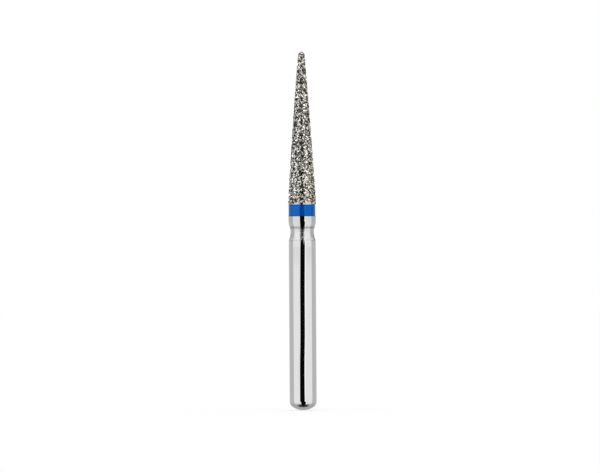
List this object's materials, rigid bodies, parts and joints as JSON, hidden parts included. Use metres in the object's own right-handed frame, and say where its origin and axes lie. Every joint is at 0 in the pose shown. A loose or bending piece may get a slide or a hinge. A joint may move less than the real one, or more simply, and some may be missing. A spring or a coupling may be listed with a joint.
{
  "type": "dental bur",
  "caption": "Needle-shaped diamond dental bur: long gritted taper with a rounded tip, blue grit band, turned neck and a straight round shank with a domed end.",
  "frame": {"origin": "on the axis at the foot of the shank's straight length, where the domed end begins", "axes": "+Z along the bur from the shank to the tip; X and Y lie across it and are alike"},
  "size_m": [0.0016, 0.0016, 0.0213],
  "materials": {
    "steel": "polished, with fine turning and grinding marks round the axis",
    "band_lacquer": "glossy lacquer",
    "diamond_grit": "rough and sparkling, crystals in matt nickel"
  },
  "bodies": {
    "root": {"steel_blank": "steel", "colour_band": "band_lacquer", "diamond_coating": "diamond_grit"}
  },
  "joints": []
}
